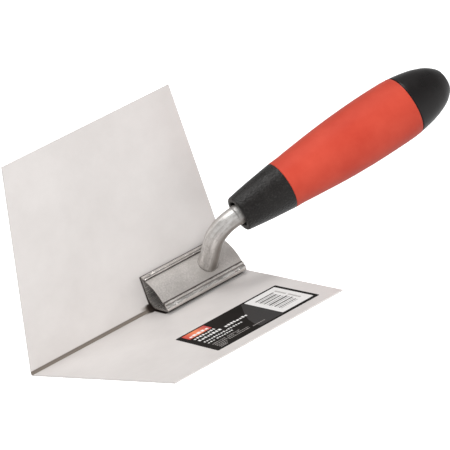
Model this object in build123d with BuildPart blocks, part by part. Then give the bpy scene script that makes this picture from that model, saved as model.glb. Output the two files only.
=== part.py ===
from build123d import *

import os
from math import acos
from math import atan2
from math import cos
from math import degrees
from math import radians
from math import sin
from math import sqrt
from math import tan

# Inside corner trowel: bent sheet blade, clamped bracket, bent tang and a soft-grip handle.
#
# Units are millimetres. The trowel lies with one wing flat on Z = 0 and the other wing upright.
# X runs along the bend, from the front tips to the handle's tail. The origin is the middle of the
# lying wing's outer face. Positions in the symmetry plane between the wings are given as a station
# (distance behind the front end of the bend) and a height above the wings' inner corner line.

os.makedirs("parts", exist_ok=True)

# Blade
blade_length = 123.6
wing_width = 101.6
sheet = 0.8
front_rake = 23.4
bend_inner_radius = 1.2

# Bracket: folded trough and arched top plate
bracket_front = 72.4
bracket_rear = 121.2
bracket_sheet = 1.0
trough_radius = 6.0
weld_gap = 1.5
arch_radius = 20.0
arch_crown = 17.8
fold_radius = 1.5
lip_inner_reach = 8.2
groove_radius = 0.45
groove_reach = 9.1
crimp_inset = 5.0
crimp_radius = 1.9
crimp_depth = 0.4
crimp_reach = 10.2

# Spot welds between the trough's legs and the wings
weld_radius = 2.2
weld_distance = 12.0
weld_inset = 8.0
welds_per_leg = 3

# Tang
rod_radius = 5.0
rod_station = 105.2
rod_corner_height = 47.73
rod_bend_radius = 13.0
rod_depth_in_handle = 66.0
rod_tip_chamfer = 1.0
ear_width = 12.0
ear_length = 4.2
ear_thickness = 2.4
ear_start = -3.0
ear_round = 0.8
tang_weld_leg = 0.5
tang_weld_edge = 0.15

# Handle
handle_tilt = 11.84
mouth_station = 117.96
nose_length = 26.9
nose_front_radius = 9.2
nose_mid_station = 13.2
nose_mid_radius = 11.1
nose_end_radius = 12.65
rim_round = 0.9
mouth_radius = 6.6
mouth_depth = 2.6
cap_start = 103.2
cap_start_radius = 15.75
cap_spigot_radius = 7.5
cap_spigot_length = 14.0
core_neck_radius = 9.9
core_belly_station = 75.7
core_belly_radius = 13.4
core_tail_radius = 12.2
seam_chamfer = 0.25
sleeve_outline = [(38.1, 13.6), (50.7, 14.7), (63.2, 15.65), (75.7, 16.15), (88.3, 16.32), (97.5, 16.2)]
cap_outline = [(110.2, 14.65), (116.5, 13.08), (121.0, 11.35), (125.0, 8.4), (127.3, 4.9)]
handle_length = 127.85

# Label
label_start = 54.4
label_end = 115.4
label_near = 52.6
label_far = 92.3
label_thickness = 0.15

# Directions and reference planes
half = sqrt(0.5)
corner_x = -blade_length / 2
corner_y = wing_width / 2
inner_corner = Vector(corner_x, corner_y - sheet, sheet)
mid_plane = Plane(origin=inner_corner, x_dir=(1, 0, 0), z_dir=(0, -1, -1))


def section_plane(station):
    """The plane across the bend at a station: local x points left, local y points up the V."""
    return Plane(origin=inner_corner + Vector(station, 0, 0), x_dir=(0, 1, 1), z_dir=(1, 0, 0))


def at_mid(station, height):
    """A point of the symmetry plane in the part's own coordinates."""
    return inner_corner + Vector(station, -half * height, half * height)


mouth_height = rod_corner_height + (mouth_station - rod_station) * tan(radians(handle_tilt))
mouth_point = at_mid(mouth_station, mouth_height)
handle_direction = Vector(
    cos(radians(handle_tilt)),
    -half * sin(radians(handle_tilt)),
    half * sin(radians(handle_tilt)),
)
handle_plane = Plane(origin=mouth_point, x_dir=handle_direction, z_dir=mid_plane.z_dir)
handle_axis = Axis(mouth_point, handle_direction)
rod_axis = Axis(at_mid(rod_station, 0), Vector(0, -half, half))

# Bracket outline, derived from the driving dimensions
bracket_length = bracket_rear - bracket_front
arch_centre = arch_crown - arch_radius
lip_radius = arch_radius + bracket_sheet
trough_centre = (trough_radius + weld_gap) * sqrt(2)
fold_reach = arch_radius + bracket_sheet - fold_radius
fold_lift = (fold_radius + weld_gap) * sqrt(2)
fold_rise = fold_lift - arch_centre
fold_x = (sqrt(2 * fold_reach**2 - fold_rise**2) - fold_rise) / 2
fold_y = fold_x + fold_lift
fold_angle = degrees(atan2(fold_y - arch_centre, fold_x))
lip_angle = degrees(acos(lip_inner_reach / lip_radius))


def on_circle(centre_x, centre_y, radius, angle):
    """A point of a circle in the section plane."""
    return (centre_x + radius * cos(radians(angle)), centre_y + radius * sin(radians(angle)))


def trough_half(thickness):
    """The points of one side of the trough, at a depth below its outer surface."""
    bottom = on_circle(0, trough_centre, trough_radius - thickness, -90)
    round_mid = on_circle(0, trough_centre, trough_radius - thickness, -67.5)
    round_end = on_circle(0, trough_centre, trough_radius - thickness, -45)
    fold_start = on_circle(fold_x, fold_y, fold_radius - thickness, -45)
    fold_mid = on_circle(fold_x, fold_y, fold_radius - thickness, (fold_angle - 45) / 2)
    fold_end = on_circle(fold_x, fold_y, fold_radius - thickness, fold_angle)
    lip_mid = on_circle(0, arch_centre, lip_radius - thickness, (fold_angle + lip_angle) / 2)
    lip_end = on_circle(0, arch_centre, lip_radius - thickness, lip_angle)
    return bottom, round_mid, round_end, fold_start, fold_mid, fold_end, lip_mid, lip_end


# Blade: the L section is bent once, then each wing's front edge is raked back
with BuildPart() as blade:
    with BuildSketch(Plane.YZ.offset(corner_x)):
        with BuildLine():
            Polyline(
                (-corner_y, 0),
                (corner_y, 0),
                (corner_y, wing_width),
                (corner_y - sheet, wing_width),
                (corner_y - sheet, sheet),
                (-corner_y, sheet),
                close=True,
            )
        make_face()
    extrude(amount=blade_length)
    fillet(
        blade.edges().filter_by(Axis.X).filter_by_position(Axis.Y, corner_y - sheet, corner_y - sheet)
        .filter_by_position(Axis.Z, sheet, sheet),
        bend_inner_radius,
    )
    fillet(
        blade.edges().filter_by(Axis.X).filter_by_position(Axis.Y, corner_y, corner_y)
        .filter_by_position(Axis.Z, 0, 0),
        bend_inner_radius + sheet,
    )
    with BuildSketch(Plane.XY):
        with BuildLine():
            Polyline(
                (corner_x, -corner_y),
                (corner_x + front_rake, -corner_y),
                (corner_x, corner_y - sheet),
                close=True,
            )
        make_face()
    extrude(amount=sheet, mode=Mode.SUBTRACT)
    with BuildSketch(Plane.XZ.offset(sheet - corner_y)):
        with BuildLine():
            Polyline(
                (corner_x, wing_width),
                (corner_x + front_rake, wing_width),
                (corner_x, sheet),
                close=True,
            )
        make_face()
    extrude(amount=-sheet, mode=Mode.SUBTRACT)
blade.part.label = "blade"
export_step(blade.part, "parts/blade.step")

# Trough: one sheet round the bottom, up both wings and folded back over the top plate
with BuildPart() as bracket_trough:
    with BuildSketch(section_plane(bracket_front)):
        outer = trough_half(0)
        inner = trough_half(bracket_sheet)
        with BuildLine():
            ThreePointArc(outer[0], outer[1], outer[2])
            Line(outer[2], outer[3])
            ThreePointArc(outer[3], outer[4], outer[5])
            ThreePointArc(outer[5], outer[6], outer[7])
            Line(outer[7], inner[7])
            ThreePointArc(inner[7], inner[6], inner[5])
            ThreePointArc(inner[5], inner[4], inner[3])
            Line(inner[3], inner[2])
            ThreePointArc(inner[2], inner[1], inner[0])
            Line(inner[0], outer[0])
        make_face()
        groove_angle = degrees(acos(groove_reach / lip_radius))
        with Locations(on_circle(0, arch_centre, lip_radius + groove_radius / 3, groove_angle)):
            Circle(groove_radius, mode=Mode.SUBTRACT)
        mirror(about=Plane.YZ)
    extrude(amount=bracket_length)
    crimp_angle = degrees(acos(crimp_reach / lip_radius))
    crimp_point = on_circle(0, arch_centre, lip_radius + crimp_radius - crimp_depth, crimp_angle)
    for crimp_station in (bracket_front + crimp_inset, bracket_rear - crimp_inset):
        with BuildSketch(section_plane(crimp_station)):
            with Locations(crimp_point, (-crimp_point[0], crimp_point[1])):
                Circle(crimp_radius)
        extrude(amount=crimp_radius, both=True, mode=Mode.SUBTRACT)
bracket_trough.part.label = "bracket_trough"
export_step(bracket_trough.part, "parts/bracket_trough.step")

# Top plate: arched sheet whose long edges lie under the trough's lips
with BuildPart() as bracket_top_plate:
    plate_angle = fold_angle + 0.6
    with BuildSketch(section_plane(bracket_front)):
        with BuildLine():
            ThreePointArc(
                on_circle(0, arch_centre, arch_radius, plate_angle),
                (0, arch_crown),
                on_circle(0, arch_centre, arch_radius, 180 - plate_angle),
            )
            Line(
                on_circle(0, arch_centre, arch_radius, 180 - plate_angle),
                on_circle(0, arch_centre, arch_radius - bracket_sheet, 180 - plate_angle),
            )
            ThreePointArc(
                on_circle(0, arch_centre, arch_radius - bracket_sheet, 180 - plate_angle),
                (0, arch_crown - bracket_sheet),
                on_circle(0, arch_centre, arch_radius - bracket_sheet, plate_angle),
            )
            Line(
                on_circle(0, arch_centre, arch_radius - bracket_sheet, plate_angle),
                on_circle(0, arch_centre, arch_radius, plate_angle),
            )
        make_face()
    extrude(amount=bracket_length)
bracket_top_plate.part.label = "bracket_top_plate"
export_step(bracket_top_plate.part, "parts/bracket_top_plate.step")

# Spot welds: short bosses that hold the trough's legs a little off both wings
weld_spacing = (bracket_length - 2 * weld_inset) / (welds_per_leg - 1)
weld_x = corner_x + (bracket_front + bracket_rear) / 2
with BuildPart() as spot_welds:
    with BuildSketch(Plane.XY.offset(sheet)):
        with Locations((weld_x, corner_y - sheet - weld_distance)):
            with GridLocations(weld_spacing, 1, welds_per_leg, 1):
                Circle(weld_radius)
    extrude(amount=weld_gap)
    with BuildSketch(Plane.XZ.offset(sheet - corner_y)):
        with Locations((weld_x, sheet + weld_distance)):
            with GridLocations(weld_spacing, 1, welds_per_leg, 1):
                Circle(weld_radius)
    extrude(amount=weld_gap)
spot_welds.part.label = "spot_welds"
export_step(spot_welds.part, "parts/spot_welds.step")

# Tang: round rod, bent once, seated on the arched plate and pinched flat at the handle's mouth
with BuildPart() as tang:
    with BuildLine(mid_plane) as tang_path:
        FilletPolyline(
            (rod_station, arch_crown - bracket_sheet),
            (rod_station, rod_corner_height),
            (
                mouth_station + rod_depth_in_handle * cos(radians(handle_tilt)),
                mouth_height + rod_depth_in_handle * sin(radians(handle_tilt)),
            ),
            radius=rod_bend_radius,
        )
    with BuildSketch(Plane(origin=tang_path.line @ 0, z_dir=tang_path.line % 0)):
        Circle(rod_radius)
    sweep()
    with BuildSketch(section_plane(rod_station - 2 * rod_radius)):
        with Locations((0, arch_centre)):
            Circle(arch_radius)
    extrude(amount=4 * rod_radius, mode=Mode.SUBTRACT)
    chamfer(tang.faces().sort_by(handle_axis)[-1].edges(), rod_tip_chamfer)
    with BuildSketch(handle_plane.offset(-ear_width / 2)):
        with Locations((ear_start + ear_length / 2, 0)):
            RectangleRounded(ear_length, ear_thickness, ear_round)
    extrude(amount=ear_width)
tang.part.label = "tang"
export_step(tang.part, "parts/tang.step")

# Weld bead where the tang stands on the plate
with BuildPart() as tang_weld:
    with BuildSketch(mid_plane):
        with BuildLine():
            Polyline(
                (rod_station + rod_radius, arch_crown - bracket_sheet),
                (rod_station + rod_radius, arch_crown + tang_weld_leg),
                (rod_station + rod_radius + tang_weld_edge, arch_crown + tang_weld_leg),
                (rod_station + rod_radius + tang_weld_leg, arch_crown + tang_weld_edge),
                (rod_station + rod_radius + tang_weld_leg, arch_crown - bracket_sheet),
                close=True,
            )
        make_face()
    revolve(axis=rod_axis)
    with BuildSketch(section_plane(rod_station - 2 * rod_radius)):
        with Locations((0, arch_centre)):
            Circle(arch_radius)
    extrude(amount=4 * rod_radius, mode=Mode.SUBTRACT)
tang_weld.part.label = "tang_weld"
export_step(tang_weld.part, "parts/tang_weld.step")

# Handle core: the visible nose and the stem that runs on under the soft grip
with BuildPart() as handle_core:
    with BuildSketch(handle_plane):
        with BuildLine():
            Line((0, 0), (0, nose_front_radius))
            Spline(
                (0, nose_front_radius),
                (nose_mid_station, nose_mid_radius),
                (nose_length, nose_end_radius),
            )
            Line((nose_length, nose_end_radius), (nose_length, core_neck_radius))
            Line((nose_length, core_neck_radius), (core_belly_station, core_belly_radius))
            Line((core_belly_station, core_belly_radius), (cap_start, core_tail_radius))
            Line((cap_start, core_tail_radius), (cap_start, 0))
            Line((cap_start, 0), (0, 0))
        make_face()
    revolve(axis=handle_axis)
    fillet(handle_core.faces().sort_by(handle_axis)[0].edges(), rim_round)
    with BuildSketch(handle_plane):
        with BuildLine():
            Polyline(
                (0, 0),
                (0, mouth_radius),
                (mouth_depth, mouth_radius),
                (mouth_depth, rod_radius),
                (rod_depth_in_handle, rod_radius),
                (rod_depth_in_handle, 0),
                close=True,
            )
        make_face()
    revolve(axis=handle_axis, mode=Mode.SUBTRACT)
    with BuildSketch(handle_plane):
        with Locations((cap_start - cap_spigot_length / 2, cap_spigot_radius / 2)):
            Rectangle(cap_spigot_length, cap_spigot_radius)
    revolve(axis=handle_axis, mode=Mode.SUBTRACT)
handle_core.part.label = "handle_core"
export_step(handle_core.part, "parts/handle_core.step")

# Grip sleeve: soft moulding round the core, flush with the nose and the tail cap
with BuildPart() as grip_sleeve:
    with BuildSketch(handle_plane):
        with BuildLine():
            Line((nose_length, core_neck_radius), (nose_length, nose_end_radius))
            Spline((nose_length, nose_end_radius), *sleeve_outline, (cap_start, cap_start_radius))
            Line((cap_start, cap_start_radius), (cap_start, core_tail_radius))
            Line((cap_start, core_tail_radius), (core_belly_station, core_belly_radius))
            Line((core_belly_station, core_belly_radius), (nose_length, core_neck_radius))
        make_face()
    revolve(axis=handle_axis)
    chamfer(grip_sleeve.edges().filter_by(GeomType.CIRCLE).sort_by(SortBy.RADIUS)[-1], seam_chamfer)
grip_sleeve.part.label = "grip_sleeve"
export_step(grip_sleeve.part, "parts/grip_sleeve.step")

# Tail cap: domed plug pressed into the core's rear
with BuildPart() as tail_cap:
    with BuildSketch(handle_plane):
        with BuildLine():
            Line((cap_start - cap_spigot_length, 0), (cap_start - cap_spigot_length, cap_spigot_radius))
            Line((cap_start - cap_spigot_length, cap_spigot_radius), (cap_start, cap_spigot_radius))
            Line((cap_start, cap_spigot_radius), (cap_start, cap_start_radius))
            Spline(
                (cap_start, cap_start_radius),
                *cap_outline,
                (handle_length, 0),
                tangents=((1, -0.1), (0, -1)),
            )
            Line((handle_length, 0), (cap_start - cap_spigot_length, 0))
        make_face()
    revolve(axis=handle_axis)
tail_cap.part.label = "tail_cap"
export_step(tail_cap.part, "parts/tail_cap.step")

# Label: printed sticker on the lying wing
with BuildPart() as label:
    with BuildSketch(Plane.XY.offset(sheet)):
        label_middle = (label_start + label_end) / 2
        label_reach = (label_near + label_far) / 2
        with Locations((corner_x + label_middle, corner_y - sheet - label_reach)):
            Rectangle(label_end - label_start, label_far - label_near)
    extrude(amount=label_thickness)
label.part.label = "label"
export_step(label.part, "parts/label.step")
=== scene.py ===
import math
import random

import bmesh
import bpy
from mathutils import Matrix
from mathutils import Quaternion
from mathutils import Vector
from mathutils import noise


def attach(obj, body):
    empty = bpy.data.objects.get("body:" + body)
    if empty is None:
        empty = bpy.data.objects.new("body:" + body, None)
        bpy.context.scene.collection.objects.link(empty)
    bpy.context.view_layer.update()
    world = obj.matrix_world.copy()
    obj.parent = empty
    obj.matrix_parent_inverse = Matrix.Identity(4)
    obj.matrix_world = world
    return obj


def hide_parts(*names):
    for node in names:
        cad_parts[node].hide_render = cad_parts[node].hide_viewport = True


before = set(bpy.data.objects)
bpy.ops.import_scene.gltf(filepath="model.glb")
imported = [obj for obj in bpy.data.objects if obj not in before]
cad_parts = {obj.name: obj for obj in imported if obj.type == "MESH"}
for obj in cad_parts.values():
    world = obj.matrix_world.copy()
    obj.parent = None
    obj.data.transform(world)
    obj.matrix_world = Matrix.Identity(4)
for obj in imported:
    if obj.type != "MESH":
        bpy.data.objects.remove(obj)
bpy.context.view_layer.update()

# Dimensions in millimetres, as in the CAD model. Everything is made in metres.
MM = 0.001
HALF = math.sqrt(0.5)
BLADE_LENGTH = 123.6
WING_WIDTH = 101.6
SHEET = 0.8
BRACKET_FRONT = 72.4
BRACKET_REAR = 121.2
BRACKET_SHEET = 1.0
TROUGH_RADIUS = 6.0
WELD_GAP = 1.5
ARCH_RADIUS = 20.0
ARCH_CROWN = 17.8
FOLD_RADIUS = 1.5
LIP_REACH = 8.2
GROOVE_REACH = 9.3
CRIMP_REACH = 10.2
CRIMP_INSET = 5.0
ROD_RADIUS = 5.0
ROD_STATION = 105.2
ROD_CORNER_HEIGHT = 47.73
ROD_BEND_RADIUS = 13.0
ROD_DEPTH_IN_HANDLE = 66.0
ROD_SINK = 0.5
HANDLE_TILT = math.radians(11.84)
MOUTH_STATION = 117.96
MOUTH_DEPTH = 2.6
MOUTH_RADIUS = 6.6
NOSE_LENGTH = 26.9
NECK_RADIUS = 9.9
BELLY_STATION = 75.7
BELLY_RADIUS = 13.4
CORE_TAIL_RADIUS = 12.2
CAP_START = 103.2
SPIGOT_START = 89.2
SPIGOT_RADIUS = 7.5
HANDLE_LENGTH = 127.85
SEAM_GAP = 0.02
FIT_GAP = 0.05
LABEL_START = 54.4
LABEL_END = 115.4
LABEL_NEAR = 52.6
LABEL_FAR = 92.3
BEAD_OVERLAP = 0.1
LIP_STEPS = 36
PRINT_SEED = 5
PRINT_BOTTOM = 0.118
PRINT_TOP = 0.135
FIELD_TOP = 0.128
OVERPRINT_BOTTOM = 0.134
OVERPRINT_TOP = 0.145
CAMERA_TARGET = (39.801, 0.0, 39.787)
CAMERA_DISTANCE = 1466.464
CAMERA_HEADING = math.radians(62.5269)
CAMERA_TILT = math.radians(-17.1866)
CAMERA_ROLL = math.radians(-19.1677)

# Directions and fixed points of the shared frame.
INNER_CORNER = Vector((-BLADE_LENGTH / 2, WING_WIDTH / 2 - SHEET, SHEET))
ALONG = Vector((1, 0, 0))
ACROSS = Vector((0, HALF, HALF))
UP_THE_V = Vector((0, -HALF, HALF))
HANDLE_ALONG = ALONG * math.cos(HANDLE_TILT) + UP_THE_V * math.sin(HANDLE_TILT)
HANDLE_UP = UP_THE_V * math.cos(HANDLE_TILT) - ALONG * math.sin(HANDLE_TILT)
MOUTH_HEIGHT = ROD_CORNER_HEIGHT + (MOUTH_STATION - ROD_STATION) * math.tan(HANDLE_TILT)
MOUTH = INNER_CORNER + ALONG * MOUTH_STATION + UP_THE_V * MOUTH_HEIGHT


def in_v(station, across, height):
    """A point given by its station, its distance across the V and its height up the V."""
    return INNER_CORNER + ALONG * station + ACROSS * across + UP_THE_V * height


def on_handle(along, radius, angle):
    """A point given by its distance along the handle, its radius and its angle round it."""
    around = HANDLE_UP * math.cos(angle) + ACROSS * math.sin(angle)
    return MOUTH + HANDLE_ALONG * along + around * radius


# ---------------------------------------------------------------- mesh helpers


def add_object(name, mesh_data, slot, *nodes):
    """Links a finished piece, rides it on the tool and hides the CAD nodes it stands for."""
    piece = bpy.data.objects.new(name, mesh_data)
    bpy.context.scene.collection.objects.link(piece)
    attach(piece, "root")
    if nodes:
        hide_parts(*nodes)
    return piece


def finish_mesh(bm, name, sharp_degrees=40):
    """Turns a bmesh into a mesh in metres, with smooth faces and sharp edges kept."""
    bmesh.ops.remove_doubles(bm, verts=bm.verts, dist=1e-4)
    bmesh.ops.recalc_face_normals(bm, faces=bm.faces)
    bmesh.ops.scale(bm, vec=(MM, MM, MM), verts=bm.verts)
    mesh_data = bpy.data.meshes.new(name)
    bm.to_mesh(mesh_data)
    bm.free()
    for polygon in mesh_data.polygons:
        polygon.use_smooth = True
    mesh_data.set_sharp_from_angle(angle=math.radians(sharp_degrees))
    return mesh_data


def skin(bm, rings, close_rows):
    """Joins rings of points with faces. A ring of one point closes the skin there."""
    rows = [[bm.verts.new(point) for point in ring] for ring in rings]
    pairs = list(zip(rows, rows[1:]))
    if close_rows:
        pairs.append((rows[-1], rows[0]))
    for first, second in pairs:
        count = max(len(first), len(second))
        for i in range(count):
            j = (i + 1) % count
            if len(first) == 1:
                bm.faces.new((first[0], second[i], second[j]))
            elif len(second) == 1:
                bm.faces.new((first[i], second[0], first[j]))
            else:
                bm.faces.new((first[i], second[i], second[j], first[j]))


def smooth_line(points, step):
    """Points along a smooth curve through the given points."""
    line = []
    last = len(points) - 1
    for i in range(last):
        before, start = points[max(i - 1, 0)], points[i]
        end, after = points[i + 1], points[min(i + 2, last)]
        count = max(2, round(math.dist(start, end) / step))
        for k in range(count):
            t = k / count
            line.append(tuple(
                0.5 * (
                    2 * b
                    + (c - a) * t
                    + (2 * a - 5 * b + 4 * c - d) * t**2
                    + (3 * b - a - 3 * c + d) * t**3
                )
                for a, b, c, d in zip(before, start, end, after)
            ))
    line.append(points[-1])
    return line


def corner(centre, radius, start, end, count=6):
    """Points of a rounded corner in a profile, with angles in degrees."""
    points = []
    for k in range(count + 1):
        angle = math.radians(start + (end - start) * k / count)
        points.append((centre[0] + radius * math.cos(angle), centre[1] + radius * math.sin(angle)))
    return points


def lathe(name, profile, closed, ripple, ripple_size, slot, node, segments=160):
    """A piece turned round the handle's axis, with a faint ripple in its skin."""
    rings = []
    for along, radius in profile:
        if radius < 1e-6:
            rings.append([on_handle(along, 0, 0)])
            continue
        ring = []
        for k in range(segments):
            angle = 2 * math.pi * k / segments
            point = on_handle(along, radius, angle)
            lift = ripple * noise.noise(point / ripple_size)
            ring.append(on_handle(along, radius + lift, angle))
        rings.append(ring)
    bm = bmesh.new()
    skin(bm, rings, closed)
    return add_object(name, finish_mesh(bm, name), slot, node)


# ---------------------------------------------------------------- material helpers


class Nodes:
    """A short way to write one material's node tree."""

    def __init__(self, name):
        self.material = bpy.data.materials.new(name)
        self.material.use_nodes = True
        self.tree = self.material.node_tree
        self.shader = self.tree.nodes["Principled BSDF"]
        coordinates = self.tree.nodes.new("ShaderNodeTexCoord")
        self.place = coordinates.outputs["Object"]

    def link(self, source, target):
        self.tree.links.new(source, target)

    def stretched(self, scale):
        """Object coordinates, scaled differently along X, Y and Z."""
        mapping = self.tree.nodes.new("ShaderNodeMapping")
        mapping.inputs["Scale"].default_value = scale
        self.link(self.place, mapping.inputs["Vector"])
        return mapping.outputs["Vector"]

    def noise(self, scale, detail=4.0, roughness=0.55, vector=None):
        node = self.tree.nodes.new("ShaderNodeTexNoise")
        node.inputs["Scale"].default_value = scale
        node.inputs["Detail"].default_value = detail
        node.inputs["Roughness"].default_value = roughness
        self.link(vector or self.place, node.inputs["Vector"])
        return node.outputs["Fac"]

    def cells(self, scale):
        node = self.tree.nodes.new("ShaderNodeTexVoronoi")
        node.inputs["Scale"].default_value = scale
        self.link(self.place, node.inputs["Vector"])
        return node.outputs["Distance"]

    def ramp(self, factor, stops):
        node = self.tree.nodes.new("ShaderNodeValToRGB")
        ramp = node.color_ramp
        while len(ramp.elements) < len(stops):
            ramp.elements.new(0.5)
        for element, (position, colour) in zip(ramp.elements, stops):
            element.position = position
            element.color = (*colour, 1.0)
        self.link(factor, node.inputs["Fac"])
        return node.outputs["Color"]

    def spread(self, factor, low, high, start=0.3, end=0.7):
        """A factor mapped from start..end to low..high."""
        node = self.tree.nodes.new("ShaderNodeMapRange")
        node.inputs["From Min"].default_value = start
        node.inputs["From Max"].default_value = end
        node.inputs["To Min"].default_value = low
        node.inputs["To Max"].default_value = high
        self.link(factor, node.inputs["Value"])
        return node.outputs["Result"]

    def mix(self, factor, first, second, blend="MIX"):
        node = self.tree.nodes.new("ShaderNodeMix")
        node.data_type = "RGBA"
        node.blend_type = blend
        self.link(factor, node.inputs["Factor"])
        for source, key in ((first, "A"), (second, "B")):
            socket = [s for s in node.inputs if s.name == key and s.type == "RGBA"][0]
            if isinstance(source, tuple):
                socket.default_value = (*source, 1.0)
            else:
                self.link(source, socket)
        return [s for s in node.outputs if s.type == "RGBA"][0]

    def reach(self, direction, low, high):
        """0 to 1 as a point's distance along a direction goes from low to high, in millimetres."""
        dot = self.tree.nodes.new("ShaderNodeVectorMath")
        dot.operation = "DOT_PRODUCT"
        dot.inputs[1].default_value = direction
        self.link(self.place, dot.inputs[0])
        return self.spread(dot.outputs["Value"], 0.0, 1.0, low * MM, high * MM)

    def combine(self, operation, *factors):
        result = factors[0]
        for factor in factors[1:]:
            node = self.tree.nodes.new("ShaderNodeMath")
            node.operation = operation
            self.link(result, node.inputs[0])
            self.link(factor, node.inputs[1])
            result = node.outputs["Value"]
        return result

    def attribute(self, name, output="Fac"):
        node = self.tree.nodes.new("ShaderNodeAttribute")
        node.attribute_name = name
        return node.outputs[output]

    def bump(self, height, strength, distance, under=None):
        node = self.tree.nodes.new("ShaderNodeBump")
        if isinstance(strength, float):
            node.inputs["Strength"].default_value = strength
        else:
            self.link(strength, node.inputs["Strength"])
        node.inputs["Distance"].default_value = distance
        self.link(height, node.inputs["Height"])
        if under is not None:
            self.link(under, node.inputs["Normal"])
        return node.outputs["Normal"]

    def edge(self, radius):
        """White on convex edges, from the difference between the rounded and the true normal."""
        bevel = self.tree.nodes.new("ShaderNodeBevel")
        bevel.inputs["Radius"].default_value = radius
        geometry = self.tree.nodes.new("ShaderNodeNewGeometry")
        dot = self.tree.nodes.new("ShaderNodeVectorMath")
        dot.operation = "DOT_PRODUCT"
        self.link(bevel.outputs["Normal"], dot.inputs[0])
        self.link(geometry.outputs["Normal"], dot.inputs[1])
        return self.spread(dot.outputs["Value"], 1.0, 0.0, 0.8, 0.99)

    def set(self, **values):
        for key, value in values.items():
            socket = self.shader.inputs[key.replace("_", " ")]
            if isinstance(value, bpy.types.NodeSocket):
                self.link(value, socket)
            elif isinstance(value, tuple):
                socket.default_value = (*value, 1.0)
            else:
                socket.default_value = value


# Colour of painted shade and shadow, mixed into steel where a mask says.
PAINTED_SHADE_COLOUR = (0.065, 0.054, 0.048)
# Light colour for convex edges: partly edge wear, partly painted highlight.
WORN_EDGE_AND_HIGHLIGHT = (0.88, 0.86, 0.84)


def steel(name, dark, light, grain, speckle_scale, speckling, rough, bump, metallic, painted_shade=None):
    """Ground or rolled steel: fine scratches, clouds and speckles, uneven gloss, convex edges lightened as
    wear and painted highlight, and painted shade where a mask asks for it.
    """
    nodes = Nodes(name)
    scratches = nodes.noise(1.0, 3.0, 0.6, nodes.stretched(grain))
    clouds = nodes.noise(38.0, 5.0, 0.6)
    speckle = nodes.noise(speckle_scale, 2.0, 0.5)
    tint = nodes.ramp(clouds, [(0.3, dark), (0.7, light)])
    tint = nodes.mix(nodes.spread(speckle, 0.0, speckling), tint, dark)
    # Convex edges lightened: edge wear and a painted highlight.
    tint = nodes.mix(nodes.edge(0.0003), tint, WORN_EDGE_AND_HIGHLIGHT)
    # Painted shade: the mask darkens the colour and lowers metallic and bump there.
    if painted_shade:
        mask = painted_shade(nodes)
        tint = nodes.mix(mask, tint, PAINTED_SHADE_COLOUR)
        metallic = nodes.spread(mask, metallic, 0.1, 0.0, 1.0)
        bump = nodes.spread(mask, bump, 0.2 * bump, 0.0, 0.7)
    normal = nodes.bump(scratches, bump, 0.00004)
    normal = nodes.bump(speckle, bump, 0.00008, normal)
    nodes.set(
        Base_Color=tint,
        Metallic=metallic,
        Roughness=nodes.spread(scratches, *rough),
        Normal=normal,
    )
    return nodes.material


def plate_painted_shadow(nodes):
    """Painted shadow: the dark line where the top plate goes under both lips."""
    across_centre = INNER_CORNER.dot(ACROSS)
    left = nodes.reach(ACROSS, across_centre + LIP_REACH - 0.6, across_centre + LIP_REACH - 0.3)
    right = nodes.reach(-ACROSS, -across_centre + LIP_REACH - 1.2, -across_centre + LIP_REACH - 0.9)
    return nodes.combine("MAXIMUM", left, right)


def trough_painted_shade(nodes):
    """Painted shade that the trough's mesh carries, broken up a little."""
    breaks = nodes.spread(nodes.noise(160.0, 3.0), 0.9, 1.0)
    return nodes.combine("MULTIPLY", nodes.attribute("painted_shade"), breaks)


def blade_painted_shade_masks(nodes):
    """Painted shade on the blade: a dark line along the tight inner bend, wider just ahead of the bracket,
    and painted shadow in the void below the bracket's front and under the bracket.
    """
    out = Vector((0, 1, 0))
    up = Vector((0, 0, 1))
    front = BRACKET_FRONT - BLADE_LENGTH / 2
    rear = BRACKET_REAR - BLADE_LENGTH / 2
    corner_y = INNER_CORNER.y
    corner_z = INNER_CORNER.z

    def near_bend(lying_reach, upright_reach, fade):
        """1 within a distance of the bend on each wing."""
        return nodes.combine(
            "MULTIPLY",
            nodes.reach(out, corner_y - lying_reach - fade, corner_y - lying_reach),
            nodes.reach(-up, -corner_z - upright_reach - fade, -corner_z - upright_reach),
        )

    # Painted shade: the bend line widens just ahead of the bracket.
    flare = nodes.combine("MULTIPLY", near_bend(2.5, 2.6, 1.2), nodes.reach(ALONG, front - 5.5, front - 1.8))
    # Painted shadow in the void below the bracket's round bottom, at its front.
    painted_void_shadow = nodes.combine("MULTIPLY", near_bend(3.6, 3.2, 0.8), nodes.reach(ALONG, front - 2.6, front - 0.9))
    # Painted shadow on the blade under the bracket and its lips.
    under = nodes.combine(
        "MULTIPLY",
        near_bend(14.4, 18.0, 0.5),
        nodes.reach(ALONG, front - 0.2, front + 0.3),
        nodes.reach(-ALONG, -rear - 0.2, -rear + 0.3),
    )
    # Painted shade along the tight inner bend.
    groove = nodes.combine("MAXIMUM", near_bend(1.35, 1.2, 0.4), flare)
    inner_faces = nodes.combine(
        "MULTIPLY",
        nodes.reach(up, 0.4 * SHEET, 0.8 * SHEET),
        nodes.reach(-out, -corner_y - 0.6 * SHEET, -corner_y - 0.2 * SHEET),
    )
    dark = nodes.combine("MAXIMUM", painted_void_shadow, under)
    return nodes.combine("MULTIPLY", groove, inner_faces), nodes.combine("MULTIPLY", dark, inner_faces)


def plastic(name, dark, light, cell_scale, relief, rough):
    """Moulded plastic with a fine grain, faint handling marks, uneven gloss and painted glints."""
    nodes = Nodes(name)
    grain = nodes.cells(cell_scale)
    marks = nodes.noise(60.0, 6.0, 0.65)
    # Painted glints: fine lighter flecks mixed into the colour.
    painted_glints = nodes.spread(nodes.noise(1500.0, 2.0), 0.0, 0.4 * relief, 0.52, 0.72)
    nodes.set(
        Base_Color=nodes.mix(painted_glints, nodes.ramp(marks, [(0.35, dark), (0.75, light)]), (0.05, 0.047, 0.045)),
        Roughness=nodes.spread(marks, *rough),
        Specular_IOR_Level=0.32,
        Normal=nodes.bump(grain, relief, 0.0002),
    )
    return nodes.material


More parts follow.
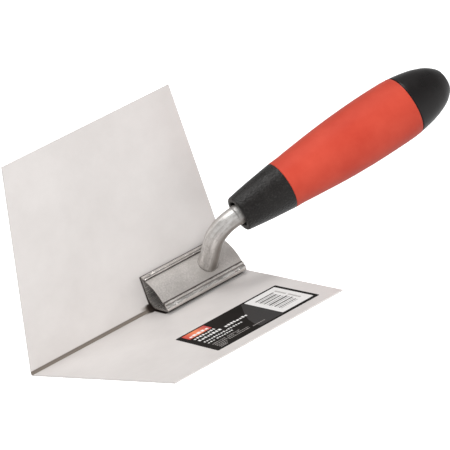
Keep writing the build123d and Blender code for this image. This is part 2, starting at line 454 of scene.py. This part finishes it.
blade = Nodes("blade_steel")
blade_scratches = blade.noise(1.0, 3.0, 0.6, blade.stretched((14.0, 5200.0, 5200.0)))
blade_clouds = blade.noise(24.0, 5.0, 0.62)
blade_tint = blade.ramp(blade_clouds, [(0.3, (0.612, 0.581, 0.564)), (0.7, (0.69, 0.659, 0.642))])
blade_bend_shade, blade_painted_shadow = blade_painted_shade_masks(blade)
# Painted shade along the inner bend, in a brownish dark.
blade_tint = blade.mix(blade_bend_shade, blade_tint, (0.185, 0.158, 0.135))
# Painted shadow, near black, in the void and under the bracket.
blade.set(
    Base_Color=blade.mix(blade_painted_shadow, blade_tint, (0.03, 0.022, 0.018)),
    Metallic=0.2,
    Roughness=blade.spread(blade_scratches, 0.4, 0.54),
    Specular_IOR_Level=0.25,
    Normal=blade.bump(blade_scratches, 0.06, 0.00004),
)
blade_steel = blade.material
plate_steel = steel(
    "plate_steel",
    dark=(0.4, 0.374, 0.352),
    light=(0.63, 0.594, 0.568),
    grain=(60.0, 1800.0, 1800.0),
    speckle_scale=1300.0,
    speckling=0.8,
    rough=(0.34, 0.5),
    bump=0.7,
    metallic=0.55,
    painted_shade=plate_painted_shadow,
)
trough_steel = steel(
    "trough_steel",
    dark=(0.5, 0.47, 0.44),
    light=(0.88, 0.85, 0.82),
    grain=(120.0, 1400.0, 1400.0),
    speckle_scale=330.0,
    speckling=0.2,
    rough=(0.18, 0.3),
    bump=0.1,
    metallic=0.92,
    painted_shade=trough_painted_shade,
)
weld_steel = steel(
    "weld_steel",
    dark=(0.24, 0.22, 0.2),
    light=(0.42, 0.4, 0.37),
    grain=(700.0, 700.0, 700.0),
    speckle_scale=900.0,
    speckling=0.6,
    rough=(0.3, 0.55),
    bump=0.4,
    metallic=0.85,
)

tang_nodes = Nodes("tang_steel")
tang_streaks = tang_nodes.noise(0.55, 4.0, 0.62, tang_nodes.attribute("streak", "Vector"))
tang_pits = tang_nodes.noise(520.0, 4.0, 0.7)
tang_tint = tang_nodes.ramp(
    tang_streaks, [(0.3, (0.46, 0.44, 0.42)), (0.5, (0.7, 0.68, 0.66)), (0.7, (0.88, 0.86, 0.84))]
)
tang_split = tang_nodes.tree.nodes.new("ShaderNodeSeparateXYZ")
tang_nodes.link(tang_nodes.attribute("streak", "Vector"), tang_split.inputs["Vector"])
tang_shade = tang_nodes.combine(
    "MAXIMUM",
    tang_nodes.spread(tang_split.outputs["Y"], 0.8, 0.0, -4.95, -4.0),
    tang_nodes.spread(tang_split.outputs["Y"], 0.0, 0.55, 2.0, 4.0),
)
tang_tint = tang_nodes.mix(tang_shade, tang_tint, (0.22, 0.19, 0.165))
tang_tint = tang_nodes.mix(tang_nodes.spread(tang_pits, 0.0, 0.4, 0.46, 0.68), tang_tint, (0.33, 0.3, 0.275))
tang_nodes.set(
    Base_Color=tang_tint,
    Metallic=0.75,
    Roughness=tang_nodes.spread(tang_streaks, 0.48, 0.36),
    Normal=tang_nodes.bump(tang_pits, 0.25, 0.00007, tang_nodes.bump(tang_streaks, 0.15, 0.0002)),
)
tang_steel = tang_nodes.material
hard_plastic = plastic(
    "hard_plastic",
    dark=(0.005, 0.0042, 0.004),
    light=(0.013, 0.0115, 0.0105),
    cell_scale=1100.0,
    relief=1.0,
    rough=(0.28, 0.42),
)
cap_plastic = plastic(
    "cap_plastic",
    dark=(0.007, 0.006, 0.006),
    light=(0.013, 0.011, 0.011),
    cell_scale=3200.0,
    relief=0.15,
    rough=(0.26, 0.36),
)

grip = Nodes("soft_grip")
grip_marks = grip.noise(45.0, 5.0, 0.6)
grip.set(
    Base_Color=grip.ramp(grip_marks, [(0.3, (0.435, 0.042, 0.023)), (0.72, (0.52, 0.068, 0.04))]),
    Roughness=grip.spread(grip_marks, 0.5, 0.64),
    Specular_IOR_Level=0.2,
    Sheen_Weight=0.06,
    Sheen_Roughness=0.4,
    Normal=grip.bump(grip.noise(2600.0, 2.0), 0.12, 0.0001),
)
soft_grip = grip.material

# ---------------------------------------------------------------- carried-over CAD nodes

for node, material in (
    ("blade", blade_steel),
    ("bracket_top_plate", plate_steel),
    ("spot_welds", weld_steel),
):
    cad_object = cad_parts[node]
    cad_object.data.materials.clear()
    cad_object.data.materials.append(material)

# ---------------------------------------------------------------- bracket trough

ARCH_CENTRE = ARCH_CROWN - ARCH_RADIUS
LIP_RADIUS = ARCH_RADIUS + BRACKET_SHEET
TROUGH_CENTRE = (TROUGH_RADIUS + WELD_GAP) * math.sqrt(2)
FOLD_LIFT = (FOLD_RADIUS + WELD_GAP) * math.sqrt(2)
FOLD_RISE = FOLD_LIFT - ARCH_CENTRE
FOLD_X = (math.sqrt(2 * (LIP_RADIUS - FOLD_RADIUS) ** 2 - FOLD_RISE**2) - FOLD_RISE) / 2
FOLD_Y = FOLD_X + FOLD_LIFT
FOLD_ANGLE = math.degrees(math.atan2(FOLD_Y - ARCH_CENTRE, FOLD_X))


def dent(reach, station, side):
    """How far the lip is pressed in at a point: the long groove, the two crimps and hammer marks."""
    groove = 0.5 * math.exp(-((reach - GROOVE_REACH) / 0.33) ** 2)
    crimps = 0.0
    for crimp in (BRACKET_FRONT + CRIMP_INSET, BRACKET_REAR - CRIMP_INSET):
        off = math.hypot(station - crimp, 1.3 * (reach - CRIMP_REACH))
        crimps += 0.45 * math.exp(-((off / 1.3) ** 2))
    hammer = 0.25 * noise.noise(Vector((station / 3.4, reach / 1.5, 7.0 * side)))
    hammer += 0.04 * noise.noise(Vector((station / 0.8, reach / 0.7, 11.0 * side)))
    return groove + crimps + hammer


def trough_side(station, side):
    """One side of the sheet's section from the bottom to the lip, as (point, painted shade) pairs."""
    outer = []
    # Outside of the round bottom: half painted shade.
    for x, y in corner((0, TROUGH_CENTRE), TROUGH_RADIUS, -90, -45, 10):
        outer.append((x, y, 0.5))
    # Outside of the leg, facing the blade: painted shade, growing towards the fold.
    for k in range(1, 10):
        angle = math.radians(-45)
        start = (TROUGH_RADIUS * math.cos(angle), TROUGH_CENTRE + TROUGH_RADIUS * math.sin(angle))
        end = (FOLD_X + FOLD_RADIUS * math.cos(angle), FOLD_Y + FOLD_RADIUS * math.sin(angle))
        share = k / 10
        x = start[0] + (end[0] - start[0]) * share
        y = start[1] + (end[1] - start[1]) * share
        outer.append((x, y, 0.85 + 0.15 * share))
    # The fold: painted shade on the part that faces the blade.
    for k in range(17):
        angle = -45 + (FOLD_ANGLE + 45) * k / 16
        x = FOLD_X + FOLD_RADIUS * math.cos(math.radians(angle))
        y = FOLD_Y + FOLD_RADIUS * math.sin(math.radians(angle))
        outer.append((x, y, min(max(-angle / 30, 0), 1)))
    fold_end = outer[-1][0]
    edge_wobble = 0.16 * noise.noise(Vector((station / 3.0, 2.0 + 3 * side, 0.5)))
    reach_end = LIP_REACH + edge_wobble
    for k in range(1, LIP_STEPS + 1):
        share = k / LIP_STEPS
        reach = fold_end + (reach_end - fold_end) * share
        fade = min(share / 0.15, 1.0)
        radius = LIP_RADIUS - fade * dent(reach, station, side)
        if k == LIP_STEPS:
            radius -= 0.12
        # Painted shade in the lip's groove.
        painted_shade = 0.95 * math.exp(-(((reach - GROOVE_REACH) / 0.3) ** 2))
        outer.append((reach, ARCH_CENTRE + math.sqrt(radius**2 - reach**2), painted_shade))
    # Inside: the lip's cut edge in full painted shade, the lip's underside and the inner fold in part, the
    # inside of the trough faintly.
    inner = [(reach_end, ARCH_CENTRE + math.sqrt((ARCH_RADIUS + SEAM_GAP) ** 2 - reach_end**2), 1.0)]
    fold_inner = FOLD_X + (FOLD_RADIUS - BRACKET_SHEET) * math.cos(math.radians(FOLD_ANGLE))
    for k in range(1, 9):
        reach = reach_end + (fold_inner - reach_end) * k / 8
        inner.append((reach, ARCH_CENTRE + math.sqrt((ARCH_RADIUS + SEAM_GAP) ** 2 - reach**2), 0.6))
    for x, y in corner((FOLD_X, FOLD_Y), FOLD_RADIUS - BRACKET_SHEET, FOLD_ANGLE, -45, 8)[1:]:
        inner.append((x, y, 0.6))
    for x, y in corner((0, TROUGH_CENTRE), TROUGH_RADIUS - BRACKET_SHEET, -45, -90, 10):
        inner.append((x, y, 0.1))
    return [(side * x, y, painted_shade) for x, y, painted_shade in outer + inner]


def trough_ring(station):
    """The closed section of the folded sheet at a station."""
    left = trough_side(station, 1)
    right = trough_side(station, -1)
    return left + right[::-1][1:-1]


trough_bm = bmesh.new()
stations = [BRACKET_FRONT]
while stations[-1] < BRACKET_REAR - 0.3:
    stations.append(stations[-1] + 0.4)
stations[-1] = BRACKET_REAR
rings = [trough_ring(station) for station in stations]
rows = []
for station, ring in zip(stations, rings):
    rows.append([trough_bm.verts.new(in_v(station, x, y)) for x, y, _ in ring])
layer = trough_bm.loops.layers.float_color.new("painted_shade")
for i in range(len(rows) - 1):
    for j in range(len(rows[i])):
        n = (j + 1) % len(rows[i])
        face = trough_bm.faces.new((rows[i][j], rows[i][n], rows[i + 1][n], rows[i + 1][j]))
        for loop, (row, column) in zip(face.loops, ((i, j), (i, n), (i + 1, n), (i + 1, j))):
            shade = rings[row][column][2]
            loop[layer] = (shade, shade, shade, 1.0)
for row, ring in ((rows[0], rings[0]), (rows[-1][::-1], rings[-1][::-1])):
    cap_face = trough_bm.faces.new(row)
    for loop, (x, y, _) in zip(cap_face.loops, ring):
        # Painted shade on the sheet's front edge below the lips, standing in for the dark gap between leg
        # and blade; the lips' front edges stay clear.
        shade = 0.0 if y > FOLD_Y + 0.2 else 0.95
        loop[layer] = (shade, shade, shade, 1.0)
trough_mesh = finish_mesh(trough_bm, "folded_trough")
trough = add_object("folded_trough", trough_mesh, "bracket_steel", "bracket_trough")
trough.data.materials.append(trough_steel)

# ---------------------------------------------------------------- handle

# Each profile is a list of (distance along the handle, radius).
nose_profile = [(ROD_DEPTH_IN_HANDLE, 0), (ROD_DEPTH_IN_HANDLE, ROD_RADIUS), (MOUTH_DEPTH, ROD_RADIUS)]
nose_profile += [(MOUTH_DEPTH, MOUTH_RADIUS - 0.4)]
nose_profile += corner((MOUTH_DEPTH - 0.4, MOUTH_RADIUS - 0.4), 0.4, 0, 90, 4)
nose_profile += [(1.0, MOUTH_RADIUS)]
nose_profile += corner((0.7, 7.3), 0.7, 270, 180, 6)
nose_profile += corner((1.0, 8.35), 1.0, 180, 97, 8)
nose_line = [(2.2, 9.52), (7.0, 10.25), (13.2, 11.1), (19.5, 11.85), (NOSE_LENGTH - 0.4, 12.6)]
nose_profile += smooth_line(nose_line, 0.6)
nose_profile += [(NOSE_LENGTH - 0.1, 12.56), (NOSE_LENGTH, 12.4), (NOSE_LENGTH, NECK_RADIUS)]
nose_profile += [(BELLY_STATION, BELLY_RADIUS), (CAP_START, CORE_TAIL_RADIUS)]
nose_profile += [(CAP_START, SPIGOT_RADIUS), (SPIGOT_START, SPIGOT_RADIUS), (SPIGOT_START, 0)]
nose = lathe("handle_nose_and_stem", nose_profile, False, 0.03, 9.0, "hard_plastic", "handle_core")
nose.data.materials.append(hard_plastic)

sleeve_line = [
    (NOSE_LENGTH + 0.4, 12.7), (32.5, 13.02), (38.1, 13.6), (50.7, 14.7), (63.2, 15.65),
    (75.7, 16.15), (88.3, 16.32), (97.5, 16.2), (100.6, 16.0), (102.4, 15.85), (CAP_START - 0.3, 15.76),
]
sleeve_start = NOSE_LENGTH + SEAM_GAP
sleeve_end = CAP_START - SEAM_GAP
sleeve_profile = [(sleeve_start, NECK_RADIUS + FIT_GAP), (sleeve_start, 12.42), (NOSE_LENGTH + 0.15, 12.6)]
sleeve_profile += smooth_line(sleeve_line, 0.8)
sleeve_profile += [(CAP_START - 0.08, 15.62), (sleeve_end, 15.45), (sleeve_end, CORE_TAIL_RADIUS + FIT_GAP)]
sleeve_profile += [(BELLY_STATION, BELLY_RADIUS + FIT_GAP)]
sleeve = lathe("soft_grip_sleeve", sleeve_profile, True, 0.09, 13.0, "soft_grip", "grip_sleeve")
sleeve.data.materials.append(soft_grip)

# The cap has a narrow groove next to the grip, and a blunt end.
cap_line = [
    (CAP_START + 0.7, 15.62), (106.5, 15.3), (110.2, 14.65), (113.5, 13.93), (116.5, 13.08), (121.0, 11.35),
    (123.7, 9.8), (126.0, 8.0), (127.4, 6.55), (128.1, 4.9), (128.4, 2.5), (HANDLE_LENGTH + 0.6, 0.0),
]
cap_profile = [
    (SPIGOT_START, 0), (SPIGOT_START, SPIGOT_RADIUS - FIT_GAP), (CAP_START, SPIGOT_RADIUS - FIT_GAP),
    (CAP_START, 15.1), (CAP_START + 0.3, 15.15), (CAP_START + 0.45, 15.5),
]
cap_profile += smooth_line(cap_line, 0.6)
cap = lathe("domed_tail_cap", cap_profile, False, 0.03, 9.0, "cap_plastic", "tail_cap")
cap.data.materials.append(cap_plastic)

# ---------------------------------------------------------------- tang


def tang_path():
    """Points and directions along the rod, from the top plate to its end in the handle."""
    turn = math.pi / 2 - HANDLE_TILT
    run = ROD_BEND_RADIUS * math.tan(turn / 2)
    start = ARCH_CROWN - ROD_SINK
    straight_end = ROD_CORNER_HEIGHT - run
    stops = []
    for k in range(24):
        height = start + (straight_end - start) * k / 24
        stops.append((in_v(ROD_STATION, 0, height), UP_THE_V, -1e3))
    centre = in_v(ROD_STATION + ROD_BEND_RADIUS, 0, straight_end)
    for k in range(33):
        angle = turn * k / 32
        out = UP_THE_V * math.sin(angle) - ALONG * math.cos(angle)
        heading = UP_THE_V * math.cos(angle) + ALONG * math.sin(angle)
        stops.append((centre + out * ROD_BEND_RADIUS, heading, -1e3))
    arc_end = (stops[-1][0] - MOUTH).dot(HANDLE_ALONG)
    for k in range(1, 41):
        along = arc_end + (5.0 - arc_end) * k / 40
        stops.append((MOUTH + HANDLE_ALONG * along, HANDLE_ALONG, along))
    stops.append((MOUTH + HANDLE_ALONG * (ROD_DEPTH_IN_HANDLE - 0.2), HANDLE_ALONG, 60.0))
    return stops


def pinch(along):
    """How far the rod is pinched, from 0 to 1, by distance along the handle."""
    rise = min(max((along + 2.4) / 0.9, 0), 1)
    fall = min(max((1.9 - along) / 1.2, 0), 1)
    return rise * rise * (3 - 2 * rise) * fall


rod_rings = []
streaks = []
travelled = 0.0
last_centre = None
for centre, heading, along in tang_path():
    if last_centre is not None:
        travelled += (centre - last_centre).length
    last_centre = centre
    side = ACROSS.cross(heading).normalized()
    ring = []
    for k in range(96):
        angle = 2 * math.pi * k / 96
        away = side * math.cos(angle) + ACROSS * math.sin(angle)
        squeeze = pinch(along)
        fin = abs(math.sin(angle)) ** 40
        radius = ROD_RADIUS + squeeze * (0.65 * fin - 0.3 * (1 - fin) * math.cos(angle) ** 2)
        radius += 0.035 * noise.noise((centre + away * ROD_RADIUS) / 3.5)
        ring.append(centre + away * radius)
        streaks.append((ROD_RADIUS * math.cos(angle), ROD_RADIUS * math.sin(angle), 0.12 * travelled))
    rod_rings.append(ring)
rod_rings.insert(0, [in_v(ROD_STATION, 0, ARCH_CROWN - ROD_SINK)])
rod_rings.append([MOUTH + HANDLE_ALONG * ROD_DEPTH_IN_HANDLE])
rod_bm = bmesh.new()
skin(rod_bm, rod_rings, False)
streak_layer = rod_bm.verts.layers.float_vector.new("streak")
rod_bm.verts.ensure_lookup_table()
for vertex, streak in zip(list(rod_bm.verts)[1:-1], streaks):
    vertex[streak_layer] = streak
tang = add_object("bent_tang_rod", finish_mesh(rod_bm, "bent_tang_rod"), "tang_steel", "tang")
tang.data.materials.append(tang_steel)


def arch_height(across):
    """Height of the top plate's outer face."""
    return ARCH_CROWN - ARCH_RADIUS + math.sqrt(ARCH_RADIUS**2 - across**2)


bead_inner = ROD_RADIUS - BEAD_OVERLAP
bead_rings = []
for k in range(120):
    angle = 2 * math.pi * k / 120
    wobble = 0.14 * noise.noise(Vector((2.2 * math.cos(angle), 2.2 * math.sin(angle), 3.0)))
    ring = []
    for step in range(11):
        t = math.pi / 2 * step / 10
        out = bead_inner + (0.5 + wobble) * math.sin(t) ** 0.8
        lift = (0.42 + wobble) * math.cos(t) ** 1.2
        across = out * math.sin(angle)
        ring.append(in_v(ROD_STATION + out * math.cos(angle), across, arch_height(across) + lift + 0.01))
    across = bead_inner * math.sin(angle)
    ring.append(in_v(ROD_STATION + bead_inner * math.cos(angle), across, arch_height(across) + 0.01))
    bead_rings.append(ring)
bead_bm = bmesh.new()
skin(bead_bm, bead_rings, True)
bead = add_object("tang_weld_bead", finish_mesh(bead_bm, "tang_weld_bead", 60), "weld_steel", "tang_weld")
bead.data.materials.append(weld_steel)

# ---------------------------------------------------------------- label


def on_label(along, out, lift):
    """A point over the lying wing, measured from the label's front corner that is nearest the bend."""
    return INNER_CORNER + Vector((LABEL_START + along, -LABEL_NEAR - out, lift))


def flat_patch(bm, outline, low, high):
    """A thin flat solid with the given outline on the label."""
    top = [bm.verts.new(on_label(x, y, high)) for x, y in outline]
    base = [bm.verts.new(on_label(x, y, low)) for x, y in outline]
    bm.faces.new(top)
    bm.faces.new(base[::-1])
    for i in range(len(outline)):
        j = (i + 1) % len(outline)
        bm.faces.new((top[i], base[i], base[j], top[j]))


def rounded(x0, y0, x1, y1, radius):
    """The outline of a rectangle with rounded corners."""
    points = corner((x1 - radius, y1 - radius), radius, 0, 90, 5)
    points += corner((x0 + radius, y1 - radius), radius, 90, 180, 5)
    points += corner((x0 + radius, y0 + radius), radius, 180, 270, 5)
    points += corner((x1 - radius, y0 + radius), radius, 270, 360, 5)
    return points


film_bm = bmesh.new()
flat_patch(film_bm, rounded(0, 0, LABEL_END - LABEL_START, LABEL_FAR - LABEL_NEAR, 0.6), 0.0, 0.12)
film = add_object("label_film", finish_mesh(film_bm, "label_film", 30), "label_print", "label")
film_nodes = Nodes("label_film")
film_marks = film_nodes.noise(120.0, 5.0)
film_nodes.set(
    Base_Color=film_nodes.ramp(film_marks, [(0.3, (0.009, 0.008, 0.007)), (0.75, (0.016, 0.014, 0.013))]),
    Roughness=film_nodes.spread(film_marks, 0.28, 0.4),
    Specular_IOR_Level=0.012,
)
film.data.materials.append(film_nodes.material)


def ink(name, colour, worn_colour, roughness):
    """Printing ink, a little uneven."""
    nodes = Nodes(name)
    marks = nodes.noise(900.0, 3.0)
    nodes.set(
        Base_Color=nodes.ramp(marks, [(0.3, worn_colour), (0.6, colour)]),
        Roughness=nodes.spread(marks, roughness, roughness + 0.12),
        Specular_IOR_Level=0.1,
    )
    return nodes.material


def print_on_label(name, outlines, material, low=PRINT_BOTTOM, high=PRINT_TOP):
    """One colour of print: thin flat patches on the label's film."""
    bm = bmesh.new()
    for outline in outlines:
        flat_patch(bm, outline, low, high)
    piece = add_object(name, finish_mesh(bm, name, 30), "label_print")
    piece.data.materials.append(material)


def box_outline(x0, y0, x1, y1):
    return [(x0, y0), (x1, y0), (x1, y1), (x0, y1)]


def word(dice, x0, x1, y0, y1, width, gap):
    """A row of small blocks that stands for a word, with no letters in it."""
    blocks = []
    x = x0
    while x + 0.5 * width < x1:
        end = min(x + width * dice.uniform(0.8, 1.2), x1)
        top = y0 + (y1 - y0) * dice.choice((0.0, 0.0, 0.22, 0.28))
        blocks.append(box_outline(x, top, end, y1))
        x = end + gap
    return blocks


dice = random.Random(PRINT_SEED)
# Rows of print in millimetres: where a row starts and ends along the label, its two edges across the
# label, and the width of a block.
title_blocks = []
for x0, x1, y0, y1, width in (
    (3.4, 16.0, 11.3, 13.3, 0.95),
    (3.4, 17.2, 15.5, 17.9, 1.1),
    (19.0, 32.6, 15.5, 17.9, 1.1),
    (3.4, 19.8, 20.9, 22.5, 0.8),
    (20.8, 26.6, 20.9, 22.5, 0.8),
    (3.4, 7.6, 24.5, 25.9, 0.8),
    (8.7, 18.0, 24.5, 25.9, 0.8),
):
    title_blocks += word(dice, x0, x1, y0, y1, width, 0.62)
small_blocks = []
for x0, x1, y0 in (
    (3.4, 11.4, 28.7), (12.2, 19.4, 28.7), (3.4, 15.4, 30.8), (16.4, 23.4, 30.8), (3.4, 9.9, 32.8),
    (10.8, 22.9, 32.8), (24.8, 32.4, 33.2), (3.4, 8.4, 34.8), (3.4, 7.4, 36.4),
):
    small_blocks += word(dice, x0, x1, y0, y0 + 1.1, 0.75, 0.3)
bars = []
for middle, width in (
    (7.9, 1.2), (9.8, 0.4), (11.9, 1.5), (13.7, 0.4), (15.7, 1.2), (18.2, 0.5),
    (20.4, 1.6), (22.6, 0.5), (25.2, 1.3), (27.3, 0.4), (29.2, 0.9), (31.0, 0.4),
):
    bar_end = 53.8 + dice.choice((0.0, 0.0, 0.8))
    bars.append(box_outline(43.6, middle - width / 2, bar_end, middle + width / 2))
bar_notes = []
for x0, y0, y1 in ((55.6, 7.0, 16.9), (55.6, 19.0, 30.0)):
    y = y0
    while y < y1:
        bar_notes.append(box_outline(x0, y, x0 + 1.1, y + 0.7))
        y += 1.15
curved_field = [
    (39.0, 1.5), (40.3, 1.5), (40.3, 38.2), (26.4, 38.2), (27.0, 31.4), (28.8, 23.4), (33.0, 13.4),
]

white_ink = ink("white_ink", (0.84, 0.83, 0.82), (0.68, 0.67, 0.66), 0.45)
panel_ink = ink("panel_ink", (0.7, 0.69, 0.68), (0.64, 0.63, 0.62), 0.45)
grey_ink = ink("grey_ink", (0.3, 0.28, 0.27), (0.18, 0.17, 0.16), 0.45)
dark_grey_ink = ink("dark_grey_ink", (0.036, 0.034, 0.034), (0.024, 0.021, 0.02), 0.4)
black_ink = ink("black_ink", (0.075, 0.072, 0.07), (0.14, 0.135, 0.13), 0.5)

badge = Nodes("badge_ink")
badge_split = badge.tree.nodes.new("ShaderNodeSeparateXYZ")
badge.link(badge.place, badge_split.inputs["Vector"])
badge_start = on_label(2.6, 0, 0).x * MM
badge_end = on_label(16.0, 0, 0).x * MM
badge.set(
    Base_Color=badge.ramp(
        badge.spread(badge_split.outputs["X"], 0.0, 1.0, badge_start, badge_end),
        [(0.0, (0.52, 0.02, 0.015)), (0.5, (0.78, 0.2, 0.06)), (0.95, (0.45, 0.02, 0.018))],
    ),
    Roughness=badge.spread(badge.noise(900.0, 3.0), 0.35, 0.45),
)

print_on_label("label_curved_field", [curved_field], dark_grey_ink, high=FIELD_TOP)
print_on_label("label_title_blocks", title_blocks, white_ink)
print_on_label("label_small_blocks", small_blocks, grey_ink)
print_on_label("label_badge", [rounded(2.6, 1.5, 16.0, 9.6, 0.5)], badge.material)
badge_band = word(dice, 4.0, 14.8, 5.8, 8.4, 1.7, 0.6)
print_on_label("label_badge_band", badge_band, white_ink, OVERPRINT_BOTTOM, OVERPRINT_TOP)
print_on_label("label_code_panel", [rounded(40.6, 1.8, 59.3, 37.0, 0.4)], panel_ink)
print_on_label("label_code_bars", bars, black_ink, OVERPRINT_BOTTOM, OVERPRINT_TOP)
print_on_label("label_code_notes", bar_notes, grey_ink, OVERPRINT_BOTTOM, OVERPRINT_TOP)

# ---------------------------------------------------------------- floor, light and camera

floor_bm = bmesh.new()
bmesh.ops.create_grid(floor_bm, x_segments=1, y_segments=1, size=6.0)
floor_mesh = bpy.data.meshes.new("studio_floor")
floor_bm.to_mesh(floor_mesh)
floor_bm.free()
floor = bpy.data.objects.new("studio_floor", floor_mesh)
bpy.context.scene.collection.objects.link(floor)
floor.visible_diffuse = False
floor.visible_glossy = False
floor_nodes = Nodes("studio_floor")
floor_tint = floor_nodes.ramp(floor_nodes.noise(3.0), [(0.3, (0.93, 0.93, 0.93)), (0.7, (0.95, 0.95, 0.95))])
floor_nodes.set(
    Base_Color=floor_tint,
    Roughness=0.9,
    Emission_Color=floor_tint,
    Emission_Strength=0.6,
)
floor.data.materials.append(floor_nodes.material)


def soft_light(name, position, target, size, power):
    """A large studio light aimed at a point."""
    data = bpy.data.lights.new(name, "AREA")
    data.shape = "RECTANGLE"
    data.size = size[0]
    data.size_y = size[1]
    data.energy = power
    lamp = bpy.data.objects.new(name, data)
    lamp.location = position
    lamp.rotation_mode = "QUATERNION"
    lamp.rotation_quaternion = (Vector(target) - Vector(position)).to_track_quat("-Z", "Y")
    lamp.visible_camera = False
    bpy.context.scene.collection.objects.link(lamp)
    return lamp


soft_light("top_light", (-0.15, 0.05, 1.9), (0.02, 0, 0.04), (0.9, 1.3), 16.0)
front_fill = soft_light("front_fill", (-0.7, -1.75, 1.15), (0, 0, 0.05), (1.6, 1.2), 49.0)
front_fill.visible_glossy = False

world = bpy.data.worlds.new("studio_world")
bpy.context.scene.world = world
world.use_nodes = True
sky = world.node_tree
sky_place = sky.nodes.new("ShaderNodeTexCoord")
sky_split = sky.nodes.new("ShaderNodeSeparateXYZ")
sky_height = sky.nodes.new("ShaderNodeMapRange")
sky_height.inputs["From Min"].default_value = -1.0
sky_ramp = sky.nodes.new("ShaderNodeValToRGB")
while len(sky_ramp.color_ramp.elements) < 4:
    sky_ramp.color_ramp.elements.new(0.5)
for element, (height, brightness) in zip(
    sky_ramp.color_ramp.elements, ((-0.8, 1.15), (-0.25, 1.1), (0.1, 0.74), (0.6, 0.38))
):
    element.position = 0.5 + 0.5 * height
    element.color = (brightness, brightness, brightness, 1.0)
sky.links.new(sky_place.outputs["Generated"], sky_split.inputs["Vector"])
sky.links.new(sky_split.outputs["Z"], sky_height.inputs["Value"])
sky.links.new(sky_height.outputs["Result"], sky_ramp.inputs["Fac"])
sky.links.new(sky_ramp.outputs["Color"], sky.nodes["Background"].inputs["Color"])
sky.nodes["Background"].inputs["Strength"].default_value = 0.78
bpy.context.scene.view_settings.view_transform = "Standard"

camera_data = bpy.data.cameras.new("camera")
camera_data.lens = 241.78
camera_data.sensor_width = 36.0
camera_data.clip_end = 50.0
camera = bpy.data.objects.new("camera", camera_data)
view_heading = Vector((
    math.cos(CAMERA_HEADING) * math.cos(CAMERA_TILT),
    math.sin(CAMERA_HEADING) * math.cos(CAMERA_TILT),
    math.sin(CAMERA_TILT),
))
camera_position = (Vector(CAMERA_TARGET) - view_heading * CAMERA_DISTANCE) * MM
camera_turn = view_heading.to_track_quat("-Z", "Y") @ Quaternion((0, 0, 1), CAMERA_ROLL)
camera.matrix_world = Matrix.LocRotScale(camera_position, camera_turn, None)
bpy.context.scene.collection.objects.link(camera)
bpy.context.scene.camera = camera
